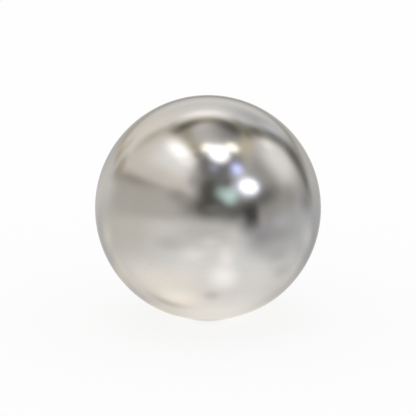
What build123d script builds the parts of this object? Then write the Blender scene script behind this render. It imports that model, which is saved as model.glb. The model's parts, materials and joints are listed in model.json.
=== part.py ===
from build123d import *
import os

# Polished steel ball: one solid, headed from wire, then ground and lapped to a true sphere.
# It has no flat, hole, seam or core, so its diameter is its only size.
# Millimetres, with the origin at the ball's centre and +Z up.

# Driving dimension: nominal ball diameter, the half-inch stock size
BALL_DIAMETER = 12.7


def steel_ball():
    """The whole ball as one closed spherical solid about the origin."""
    return Sphere(radius=BALL_DIAMETER / 2)


# One file for each node
nodes = {"steel_ball": steel_ball()}
os.makedirs("parts", exist_ok=True)
for name, solid in nodes.items():
    export_step(solid, f"parts/{name}.step")
    print(f"{name}: {solid.volume:.2f} cubic mm")
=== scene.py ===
"""Looks of the polished steel ball: its lapped surface, and a small studio painted as its reflections.

Metres, in the part's own frame: the origin is the ball's centre and +Z is up. The camera stands
on the -Y side. A direction is an azimuth and an elevation in degrees, seen from the ball:
azimuth 0 points to the camera's side and 90 to the picture's right.
"""
import bmesh
import bpy
import json
import math
import numpy as np
from collections import namedtuple
from mathutils import Matrix, Vector


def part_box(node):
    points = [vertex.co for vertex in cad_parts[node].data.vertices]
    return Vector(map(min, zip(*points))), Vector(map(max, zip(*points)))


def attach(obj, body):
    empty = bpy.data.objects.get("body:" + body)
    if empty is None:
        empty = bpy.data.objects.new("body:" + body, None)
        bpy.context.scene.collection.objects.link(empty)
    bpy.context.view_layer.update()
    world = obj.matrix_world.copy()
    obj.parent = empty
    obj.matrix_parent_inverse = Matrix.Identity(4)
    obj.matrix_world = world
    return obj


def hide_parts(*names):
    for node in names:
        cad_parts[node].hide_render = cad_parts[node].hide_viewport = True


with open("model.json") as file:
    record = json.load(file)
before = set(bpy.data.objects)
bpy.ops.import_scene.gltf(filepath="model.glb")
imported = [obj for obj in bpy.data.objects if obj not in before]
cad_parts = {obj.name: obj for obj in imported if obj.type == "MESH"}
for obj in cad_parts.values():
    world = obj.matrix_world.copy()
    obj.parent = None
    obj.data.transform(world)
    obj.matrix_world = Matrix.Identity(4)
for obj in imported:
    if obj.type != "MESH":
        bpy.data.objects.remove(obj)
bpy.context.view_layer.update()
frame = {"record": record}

# The ball's size and place, from the frame
BALL_LOW, BALL_HIGH = (Vector(corner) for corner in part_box("steel_ball"))
BALL_CENTRE = (BALL_LOW + BALL_HIGH) / 2
BALL_RADIUS = (BALL_HIGH.z - BALL_LOW.z) / 2
FLOOR_POINT = Vector((BALL_CENTRE.x, BALL_CENTRE.y, BALL_LOW.z))
STEEL_COLOUR = frame["record"]["materials"][0]["base_color"]

# Meshes of the ball and the dome: the cube that both start from, which reaches one unit from its
# middle, and how many quads each has along an edge of it
UNIT_CUBE_SIZE = 2.0
BALL_QUADS_PER_EDGE = 64
DOME_QUADS_PER_EDGE = 96

# The lapped surface, sizes in metres: soft patches of haze, fine grain, and the arcs that the lapping
# plates leave round several axes, each the X axis turned about X, Y and Z in degrees. HAZE_RANGE and
# LINE_RANGE are the noise levels between which haze or a line goes from none to full
NONE_TO_FULL = (0.0, 1.0)
NOISE_DETAIL = 2.0
HAZE_SIZE = 0.0032
HAZE_RANGE = (0.32, 0.68)
GRAIN_SIZE = 0.00022
GRAIN_HEIGHT = 0.0000002
LINE_WIDTH = 0.00005
LINE_STRETCH = 50.0
LINE_RANGE = (0.56, 0.76)
LINE_TURNS = ((0, 18, 35), (0, -40, 100), (0, 62, 160), (0, -12, 250))

# How the steel looks there: its roughness and the share of its colour from clear to hazy, what a line
# adds to the first and leaves of the second, and the tint of what it mirrors near its outline
STEEL_METALLIC = 1.0
ROUGHNESS_RANGE = (0.150, 0.168)
LINE_ROUGHNESS = 0.04
COLOUR_RANGE = (1.005, 0.97)
LINE_SHADE = 0.975
EDGE_TINT = (0.6, 0.6, 0.6, 1.0)

# Camera: a long lens in millimetres, raised a little, with the ball as large in the picture as in the
# photograph, where its radius and half the picture's width are in pixels
CAMERA_AZIMUTH = 0.0
CAMERA_ELEVATION = 15.0
CAMERA_LENS = 200.0
SENSOR_WIDTH = 36.0
PHOTO_BALL_RADIUS = 113.0
PHOTO_HALF_WIDTH = 208.0
BALL_SHARE_OF_FRAME = PHOTO_BALL_RADIUS / PHOTO_HALF_WIDTH
CLIP_START = 0.005
CLIP_END = 20.0

# Studio: a white world and floor, and how much of the floor's white is its own
WORLD_COLOUR = (1.0, 1.0, 1.0, 1.0)
WORLD_STRENGTH = 1.0
FLOOR_SIZE = 6.0
FLOOR_COLOUR = (0.95, 0.95, 0.95, 1.0)
FLOOR_GLOW_SHARE = 0.8

# What the ball mirrors: a dome round it that glows with painted reflections and is seen only in
# mirrors, flattened just above the floor
DOME_RADIUS = 0.6
DOME_FLOOR_GAP = 0.00002
PAINT_LAYER = "paint"
PAINT_ALPHA = 1.0

# Soft cards painted on the white dome, the lowest layer first, as painted reflections of a studio:
# painted highlights for its lamps and bright panels, and painted pools of light and painted shade on
# its floor.
# Each card gives the middle's azimuth and elevation, half the width and height in degrees, a turn in
# degrees that lowers the end of higher azimuth, the colour (1 is white), the share of the half size
# over which the edges fade out, and how square the outline is (2 is an ellipse)
Card = namedtuple("Card", "name aim half turn colour fade squareness")
CARDS = (
    # Overhead
    Card("ceiling", (0, 90), (50, 50), 0, (0.66, 0.655, 0.64), 0.3, 2),
    Card("ceiling_light", (-161, 73), (26, 11), 0, (0.81, 0.80, 0.79), 1.0, 2),
    Card("ceiling_dark", (110, 74), (46, 17), 0, (0.36, 0.36, 0.36), 1.0, 2),
    Card("ceiling_left", (-108, 73), (22, 9), -20, (0.43, 0.395, 0.265), 1.0, 2),
    Card("gap_back", (180, 66.5), (70, 6), 0, (0.47, 0.41, 0.24), 0.9, 2),
    Card("gap_right", (137, 65.7), (26, 11.6), 0, (0.11, 0.105, 0.09), 0.9, 2),
    Card("gap_left", (-139, 64.2), (20.3, 10.6), 15, (0.09, 0.08, 0.05), 0.9, 2),
    # Left side
    # The floor on the left, greyed by painted shade
    Card("left_floor", (-86, -12), (74, 36), 0, (0.77, 0.745, 0.69), 0.9, 3),
    Card("left_wall", (-65.5, 16), (65, 22), -6, (0.61, 0.595, 0.55), 0.4, 4),
    Card("left_panel", (-70, 51), (55.5, 24.4), -14, (0.86, 0.81, 0.74), 0.2, 4),
    Card("left_upper", (-62, 54), (41, 18), 0, (1.11, 1.10, 1.08), 0.9, 3),
    Card("left_core", (-66, 63.8), (29, 9.5), 0, (2.0, 1.98, 1.95), 0.9, 2),
    Card("left_line", (-94.5, 20.7), (55, 6.5), -17.5, (0.37, 0.335, 0.29), 1.0, 2),
    Card("left_cool", (-20, 41), (10, 13), 0, (0.56, 0.56, 0.57), 1.0, 2),
    Card("left_corner", (-34, 24.5), (17, 11), 0, (0.40, 0.39, 0.37), 1.0, 2),
    # Right side
    Card("right_wall", (92, 16), (52, 46), 0, (0.435, 0.425, 0.405), 0.4, 4),
    Card("right_brown", (89, 59), (28, 11), 0, (0.72, 0.65, 0.475), 1.0, 2),
    # The floor on the right, greyed by painted shade, lighter in its middle
    Card("right_far_floor", (112, -17), (54, 32), 0, (0.67, 0.685, 0.715), 0.9, 3),
    Card("right_floor", (50, -14), (31, 19), 0, (0.42, 0.42, 0.44), 1.0, 2.5),
    Card("right_middle", (75, -6.5), (22, 9), 0, (0.625, 0.64, 0.67), 1.0, 2),
    # Front, mostly dark, and the edge of the left panel over it
    # The floor in front, greyed by painted shade
    Card("front_floor", (-6, -8), (48, 16), 0, (0.75, 0.73, 0.70), 0.9, 3),
    Card("floor_shade_dip", (-34, -17), (24, 8), 0, (0.72, 0.71, 0.685), 1.0, 2),
    Card("front_soft", (-6, 15), (33, 20), 0, (0.16, 0.155, 0.145), 1.0, 2),
    Card("front_right", (61, 17.5), (30, 12.7), 0, (0.14, 0.135, 0.13), 1.0, 2),
    Card("front_top", (20, 60), (31, 19), 0, (0.16, 0.16, 0.15), 0.6, 3),
    Card("front_dark", (11, 27), (29, 31), 0, (0.085, 0.083, 0.07), 0.6, 4),
    Card("front_veil", (15, 44), (13, 12), 0, (0.20, 0.20, 0.19), 1.0, 2),
    Card("left_bulge", (-38, 59.4), (12.5, 8.7), 0, (1.40, 1.38, 1.36), 1.0, 2),
    Card("front_low", (32, 11), (33, 21), 0, (0.14, 0.135, 0.125), 0.9, 2.5),
    Card("front_haze", (6, 14), (16, 6.5), 0, (0.25, 0.245, 0.235), 1.0, 2),
    Card("tail_shade", (40, -4.5), (17.5, 11), 0, (0.31, 0.31, 0.31), 1.0, 2),
    Card("front_tail", (44.3, 6), (12, 16), 0, (0.045, 0.045, 0.045), 0.7, 3),
    # Bright panel on the right
    Card("right_panel", (107, 31), (27.5, 29), 0, (1.10, 1.08, 1.07), 0.8, 2.5),
    Card("panel_top", (117, 42), (10, 8), 0, (1.38, 1.35, 1.30), 1.0, 2),
    Card("panel_foot", (93, 8.5), (13, 13), 0, (0.43, 0.415, 0.385), 1.0, 2),
    # Backdrop behind the ball
    Card("backdrop", (180, 16), (44, 48), 0, (1.02, 1.015, 1.005), 0.14, 3.5),
    Card("backdrop_warm", (-148, 26), (24, 42), 0, (1.07, 1.015, 0.915), 1.0, 2),
    Card("backdrop_shade", (150, 34), (23, 25), 0, (0.645, 0.655, 0.665), 1.0, 2),
    Card("backdrop_low", (180, 22), (34, 13), 0, (1.24, 1.225, 1.19), 1.0, 2.5),
    # Dark arc and soft edges round the backdrop
    Card("arc_shade", (141, 8.5), (14, 14), 0, (0.47, 0.47, 0.465), 1.0, 2),
    Card("arc_low", (128, 4.5), (10.8, 15), 24, (0.125, 0.12, 0.115), 1.0, 2),
    Card("arc_right", (131, 17), (15, 15), 10, (0.16, 0.155, 0.15), 0.9, 2.5),
    Card("arc_middle", (132.8, 32), (10.3, 16), -3, (0.245, 0.245, 0.24), 0.9, 2.5),
    Card("arc_top", (130.4, 48), (12, 14), 0, (0.18, 0.17, 0.135), 0.9, 2.5),
    Card("arc_inner", (121, 56.5), (10, 6), 0, (0.19, 0.175, 0.13), 1.0, 2),
    Card("gap_link", (143, 55), (12, 6), 0, (0.32, 0.31, 0.27), 1.0, 2),
    Card("gap_end", (-140, 53.5), (7, 4), 0, (0.48, 0.43, 0.32), 1.0, 2),
    Card("cool_edge", (145, 29), (7, 9), 0, (0.86, 0.90, 0.98), 1.0, 2),
    Card("edge_left", (-127, 44), (9.5, 22), -20, (0.65, 0.585, 0.47), 1.0, 2),
    Card("edge_left_low", (-121, 13.5), (11.5, 7.5), -20, (0.50, 0.44, 0.36), 1.0, 2),
    Card("warm_edge", (-123, 17), (10, 9), 0, (0.56, 0.48, 0.37), 1.0, 2),
    # Horizon behind the ball, mirrored near its outline, with painted light and shade on the floor
    # there
    Card("back_low", (180, -4), (60, 18), 0, (0.95, 0.93, 0.895), 0.6, 3),
    Card("rim_right", (138, -18), (18, 22), 0, (0.79, 0.795, 0.81), 1.0, 2),
    Card("rim_side", (-147, -8), (20, 13), 0, (1.18, 1.15, 1.10), 1.0, 2),
    Card("rim_floor_left", (-113, -21), (16, 12), 0, (1.05, 1.015, 0.955), 1.0, 2),
    Card("rim_floor_right", (109, -21), (17, 12), 0, (0.92, 0.915, 0.905), 1.0, 2),
    Card("arc_tail", (115, -2.7), (15.5, 8.5), 0, (0.38, 0.375, 0.36), 1.0, 2),
    Card("horizon", (180, 6.5), (24, 6), 0, (0.57, 0.51, 0.42), 1.0, 3),
    Card("horizon_left", (-156, 9), (18, 6), -4, (0.74, 0.66, 0.54), 1.0, 3),
    Card("warm_edge_top", (-138, 12), (10, 7.5), 0, (0.63, 0.525, 0.385), 1.0, 2),
    Card("strip_warm", (-137, 20), (8, 7), 0, (0.86, 0.76, 0.60), 1.0, 2),
    Card("horizon_right", (152, 9.8), (20, 6), 4, (0.555, 0.53, 0.485), 1.0, 3),
    # Painted shade on the floor behind the ball
    Card("behind", (180, -18), (42, 23), 0, (0.77, 0.755, 0.725), 1.0, 2),
    Card("streak", (-176.5, 53), (20, 8.5), 0, (1.61, 1.56, 1.47), 1.0, 2),
    # Lamps, as painted highlights: patches brighter than white that light nothing,
    # with painted haze and dark gaps round them
    Card("halo_left", (-46, 75), (11, 8), 0, (0.43, 0.37, 0.225), 1.0, 2),
    Card("lamp_gap", (-24, 68.5), (7.5, 6), 0, (0.14, 0.135, 0.12), 1.0, 2),
    Card("lamp_bar_highlight", (44.5, 74.5), (13, 3.6), 36, (1.40, 1.37, 1.27), 0.6, 2.5),
    Card("lamp_left_highlight", (-3, 77.8), (6.3, 6.7), 0, (2.5, 2.42, 2.06), 0.6, 2),
    Card("lamp_right_highlight", (69.5, 68.3), (6.8, 7.8), 0, (2.5, 2.42, 2.06), 0.65, 2),
    Card("lamp_middle_highlight", (28.6, 69.5), (11.5, 12.8), 0, (2.4, 2.42, 2.6), 0.5, 2),
    Card("lamp_haze", (33, 31.3), (11, 9), 20, (0.74, 0.79, 0.90), 1.0, 2),
    Card("round_lamp_highlight", (48.6, 30.2), (12.4, 8.9), 17, (2.27, 2.34, 2.7), 0.35, 2),
    Card("blue_lamp_highlight", (44, 49.2), (8.8, 9.2), 0, (1.40, 1.52, 2.58), 1.0, 2),
    Card("green_lobe", (15.5, 29.5), (10.5, 11), 0, (0.55, 0.70, 0.66), 1.0, 2),
    Card("green_lamp_highlight", (24, 25), (11.7, 12.2), 0, (0.87, 1.14, 1.12), 0.9, 2),
    Card("faint_lamp_highlight", (9, 55), (8, 7), 0, (0.42, 0.47, 0.61), 0.9, 2),
    # Floor near the ball: painted pools of light, and painted shadow and shade where the ball meets it
    Card("near_glow", (0, -90), (66, 66), 0, (1.07, 1.042, 0.985), 0.8, 2),
    Card("contact_glow", (40, -86), (42, 42), 0, (1.92, 1.85, 1.75), 0.9, 2),
    Card("contact_core_shade", (0, -84), (15, 15), 0, (0.75, 0.73, 0.70), 0.9, 2),
    Card("warm_glow", (-40, -43), (46, 19), 0, (1.17, 1.112, 1.02), 1.0, 2),
    Card("low_glow", (-27, -52.5), (20, 10), 0, (1.40, 1.31, 1.18), 1.0, 2),
    Card("contact_shade", (-47, -55.3), (21, 4.5), 20, (0.89, 0.84, 0.785), 1.0, 2),
    Card("rim_warm", (-67, -64.5), (18, 9), 0, (1.46, 1.36, 1.21), 1.0, 2),
    Card("contact_spot", (3, -48.5), (8, 4.5), 0, (0.87, 0.82, 0.75), 1.0, 2),
    Card("right_shade", (63, -25), (25, 12), 0, (0.63, 0.633, 0.64), 1.0, 2),
    Card("rim_left", (-86, -44), (30, 9), 48, (1.18, 1.10, 1.01), 1.0, 2),
    Card("rim_left_far", (-108, -41), (18, 12), 0, (1.24, 1.155, 1.03), 1.0, 2),
    Card("rim_right_low", (87, -43), (30, 8), -48, (1.06, 1.04, 1.00), 1.0, 2),
    Card("low_shade", (71, -36.5), (18, 8), 0, (0.79, 0.785, 0.775), 1.0, 2),
    Card("front_glow", (13, -37.3), (15, 11.5), 0, (1.41, 1.38, 1.39), 1.0, 2),
    Card("pink_glow", (14.8, -26), (8.5, 12), 0, (1.26, 1.215, 1.22), 1.0, 2),
    Card("far_glow", (2, -15), (14, 6), 0, (1.02, 0.99, 0.98), 1.0, 2),
    Card("small_glow", (-12, -24), (14, 6), 0, (1.15, 1.13, 1.08), 1.0, 2),
)


def direction(azimuth, elevation):
    """The unit vector from the ball towards an azimuth and an elevation in degrees."""
    around = math.radians(azimuth)
    up = math.radians(elevation)
    level = math.cos(up)
    return Vector((math.sin(around) * level, -math.cos(around) * level, math.sin(up)))


def new_material(name):
    """An empty node material, with its node tree and its output node."""
    material = bpy.data.materials.new(name)
    material.use_nodes = True
    tree = material.node_tree
    tree.nodes.clear()
    output = tree.nodes.new("ShaderNodeOutputMaterial")
    return material, tree, output


def math_node(tree, operation, first, second):
    """A math node on two inputs, each a socket or a number; returns its result."""
    node = tree.nodes.new("ShaderNodeMath")
    node.operation = operation
    for socket, value in zip(node.inputs, (first, second)):
        if isinstance(value, bpy.types.NodeSocket):
            tree.links.new(value, socket)
        else:
            socket.default_value = value
    return node.outputs["Value"]


def noise(tree, coordinates, size):
    """Smooth noise with features of about the given size; returns a socket from 0 to 1."""
    node = tree.nodes.new("ShaderNodeTexNoise")
    node.inputs["Scale"].default_value = 1 / size
    node.inputs["Detail"].default_value = NOISE_DETAIL
    tree.links.new(coordinates, node.inputs["Vector"])
    return node.outputs["Fac"]


def remap(tree, value, start, end):
    """Moves a value from one range to another, and holds it at the ends."""
    node = tree.nodes.new("ShaderNodeMapRange")
    for name, number in zip(("From Min", "From Max", "To Min", "To Max"), (*start, *end)):
        node.inputs[name].default_value = number
    tree.links.new(value, node.inputs["Value"])
    return node.outputs["Result"]


def mix_shaders(tree, output, share, first, second):
    """Shows the second shader by the given share over the first."""
    mix = tree.nodes.new("ShaderNodeMixShader")
    tree.links.new(share, mix.inputs["Fac"])
    tree.links.new(first, mix.inputs[1])
    tree.links.new(second, mix.inputs[2])
    tree.links.new(mix.outputs["Shader"], output.inputs["Surface"])


def sphere_form(radius, quads):
    """A sphere with no poles: a cube's faces divided at equal angles and pushed out."""
    form = bmesh.new()
    bmesh.ops.create_cube(form, size=UNIT_CUBE_SIZE)
    bmesh.ops.subdivide_edges(form, edges=form.edges, cuts=quads - 1, use_grid_fill=True)
    for vertex in form.verts:
        spread = Vector(math.tan(share * math.pi / 4) for share in vertex.co)
        vertex.co = spread.normalized() * radius
    for face in form.faces:
        face.smooth = True
    return form


def mesh_object(name, form, material):
    """An object in the scene from a finished form, with one material."""
    mesh = bpy.data.meshes.new(name)
    form.to_mesh(mesh)
    form.free()
    mesh.materials.append(material)
    made = bpy.data.objects.new(name, mesh)
    bpy.context.scene.collection.objects.link(made)
    return made


# The ball

def lapping_lines(tree, coordinates):
    """Fine arcs round several axes: 1 on a line and 0 off it."""
    lines = 0.0
    for turns in LINE_TURNS:
        along = tree.nodes.new("ShaderNodeMapping")
        along.vector_type = "TEXTURE"
        along.inputs["Rotation"].default_value = [math.radians(angle) for angle in turns]
        along.inputs["Scale"].default_value = (1.0, LINE_STRETCH, LINE_STRETCH)
        tree.links.new(coordinates, along.inputs["Vector"])
        streaks = noise(tree, along.outputs["Vector"], LINE_WIDTH)
        lines = math_node(tree, "MAXIMUM", remap(tree, streaks, LINE_RANGE, NONE_TO_FULL), lines)
    return lines


def steel_material():
    """Ground and lapped steel: a bright, faintly warm mirror with haze, grain and fine lines."""
    material, tree, output = new_material("lapped_steel")
    shader = tree.nodes.new("ShaderNodeBsdfPrincipled")
    shader.inputs["Metallic"].default_value = STEEL_METALLIC
    shader.inputs["Specular Tint"].default_value = EDGE_TINT
    coordinates = tree.nodes.new("ShaderNodeTexCoord").outputs["Object"]
    haze = noise(tree, coordinates, HAZE_SIZE)
    lines = lapping_lines(tree, coordinates)

    level = remap(tree, haze, HAZE_RANGE, COLOUR_RANGE)
    level = math_node(tree, "MULTIPLY", level, remap(tree, lines, NONE_TO_FULL, (1, LINE_SHADE)))
    colour = tree.nodes.new("ShaderNodeVectorMath")
    colour.operation = "SCALE"
    colour.inputs["Vector"].default_value = STEEL_COLOUR
    tree.links.new(level, colour.inputs["Scale"])
    tree.links.new(colour.outputs["Vector"], shader.inputs["Base Color"])

    roughness = remap(tree, haze, HAZE_RANGE, ROUGHNESS_RANGE)
    worn = math_node(tree, "MULTIPLY", lines, LINE_ROUGHNESS)
    tree.links.new(math_node(tree, "ADD", roughness, worn), shader.inputs["Roughness"])

    relief = tree.nodes.new("ShaderNodeBump")
    relief.inputs["Distance"].default_value = GRAIN_HEIGHT
    height = math_node(tree, "SUBTRACT", noise(tree, coordinates, GRAIN_SIZE), lines)
    tree.links.new(height, relief.inputs["Height"])
    tree.links.new(relief.outputs["Normal"], shader.inputs["Normal"])
    tree.links.new(shader.outputs["BSDF"], output.inputs["Surface"])
    return material


def build_ball():
    """The ball that stands for the CAD solid, at the same size and place."""
    ball = mesh_object("ball", sphere_form(BALL_RADIUS, BALL_QUADS_PER_EDGE), steel_material())
    ball.location = BALL_CENTRE
    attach(ball, "root")
    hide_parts("steel_ball")


# The studio

def build_world():
    """A plain white surround that lights everything evenly."""
    world = bpy.data.worlds.new("white_studio")
    world.use_nodes = True
    background = world.node_tree.nodes["Background"]
    background.inputs["Color"].default_value = WORLD_COLOUR
    background.inputs["Strength"].default_value = WORLD_STRENGTH
    bpy.context.scene.world = world


def floor_material():
    """White paper: part of its white is its own, so that it stays white and keeps a soft shadow."""
    material, tree, output = new_material("white_floor")
    paper = tree.nodes.new("ShaderNodeBsdfDiffuse")
    paper.inputs["Color"].default_value = FLOOR_COLOUR
    glow = tree.nodes.new("ShaderNodeEmission")
    path = tree.nodes.new("ShaderNodeLightPath")
    seen = path.outputs["Is Camera Ray"]
    for ray in ("Is Glossy Ray", "Is Transmission Ray"):
        seen = math_node(tree, "MAXIMUM", seen, path.outputs[ray])
    share = math_node(tree, "MULTIPLY", seen, FLOOR_GLOW_SHARE)
    mix_shaders(tree, output, share, paper.outputs["BSDF"], glow.outputs["Emission"])
    return material


def build_floor():
    """A wide white floor under the ball."""
    form = bmesh.new()
    bmesh.ops.create_grid(form, x_segments=1, y_segments=1, size=FLOOR_SIZE / 2)
    floor = mesh_object("floor", form, floor_material())
    floor.location = FLOOR_POINT


def dome_material():
    """A glow of the painted reflections that the dome's mesh holds as colours."""
    material, tree, output = new_material("painted_reflection_dome")
    paint = tree.nodes.new("ShaderNodeAttribute")
    paint.attribute_name = PAINT_LAYER
    glow = tree.nodes.new("ShaderNodeEmission")
    tree.links.new(paint.outputs["Color"], glow.inputs["Color"])
    tree.links.new(glow.outputs["Emission"], output.inputs["Surface"])
    return material


def cover(card, towards):
    """How far a card covers each direction: 1 inside, fading smoothly to 0 at its rounded edge."""
    azimuth, elevation = (math.radians(angle) for angle in card.aim)
    turned = Matrix.Rotation(azimuth, 3, "Z") @ Matrix.Rotation(-elevation, 3, "X")
    turned = turned @ Matrix.Rotation(math.radians(card.turn), 3, "Y")
    right, back, up = (towards @ np.array(turned)).T
    across = np.degrees(np.arctan2(right, -back)) / card.half[0]
    upward = np.degrees(np.arcsin(np.clip(up, -1, 1))) / card.half[1]
    power = card.squareness
    out = (np.abs(across) ** power + np.abs(upward) ** power) ** (1 / power)
    inward = np.clip((1 - out) / card.fade, 0, 1)
    return inward * inward * (3 - 2 * inward)


def painted(towards):
    """The dome's colour in each direction: white, with the cards laid over it in turn."""
    colours = np.ones_like(towards)
    for card in CARDS:
        share = cover(card, towards)[:, np.newaxis]
        colours = colours * (1 - share) + np.array(card.colour) * share
    return colours


def build_dome():
    """The dome of painted reflections, which only mirrors show; below, it lies flat above the floor."""
    form = sphere_form(DOME_RADIUS, DOME_QUADS_PER_EDGE)
    layer = form.verts.layers.float_color.new(PAINT_LAYER)
    towards = np.array([vertex.co.normalized() for vertex in form.verts])
    lowest = BALL_RADIUS - DOME_FLOOR_GAP
    for vertex, colour in zip(form.verts, painted(towards)):
        vertex[layer] = (*colour, PAINT_ALPHA)
        vertex.co *= lowest / max(lowest, -vertex.co.z)
    dome = mesh_object("dome", form, dome_material())
    dome.location = BALL_CENTRE
    dome.visible_camera = False
    dome.visible_diffuse = False
    dome.visible_shadow = False


def build_camera():
    """A long-lens camera that looks at the ball's centre."""
    data = bpy.data.cameras.new("camera")
    data.sensor_width = SENSOR_WIDTH
    data.lens = CAMERA_LENS
    data.clip_start = CLIP_START
    data.clip_end = CLIP_END
    half_ball = math.atan(BALL_SHARE_OF_FRAME * SENSOR_WIDTH / 2 / CAMERA_LENS)
    distance = BALL_RADIUS / math.sin(half_ball)
    camera = bpy.data.objects.new("camera", data)
    bpy.context.scene.collection.objects.link(camera)
    towards = direction(CAMERA_AZIMUTH, CAMERA_ELEVATION)
    camera.location = BALL_CENTRE + towards * distance
    camera.rotation_euler = towards.to_track_quat("Z", "Y").to_euler()
    bpy.context.scene.camera = camera


build_ball()
build_world()
build_floor()
build_dome()
build_camera()
bpy.context.scene.view_settings.view_transform = "Standard"
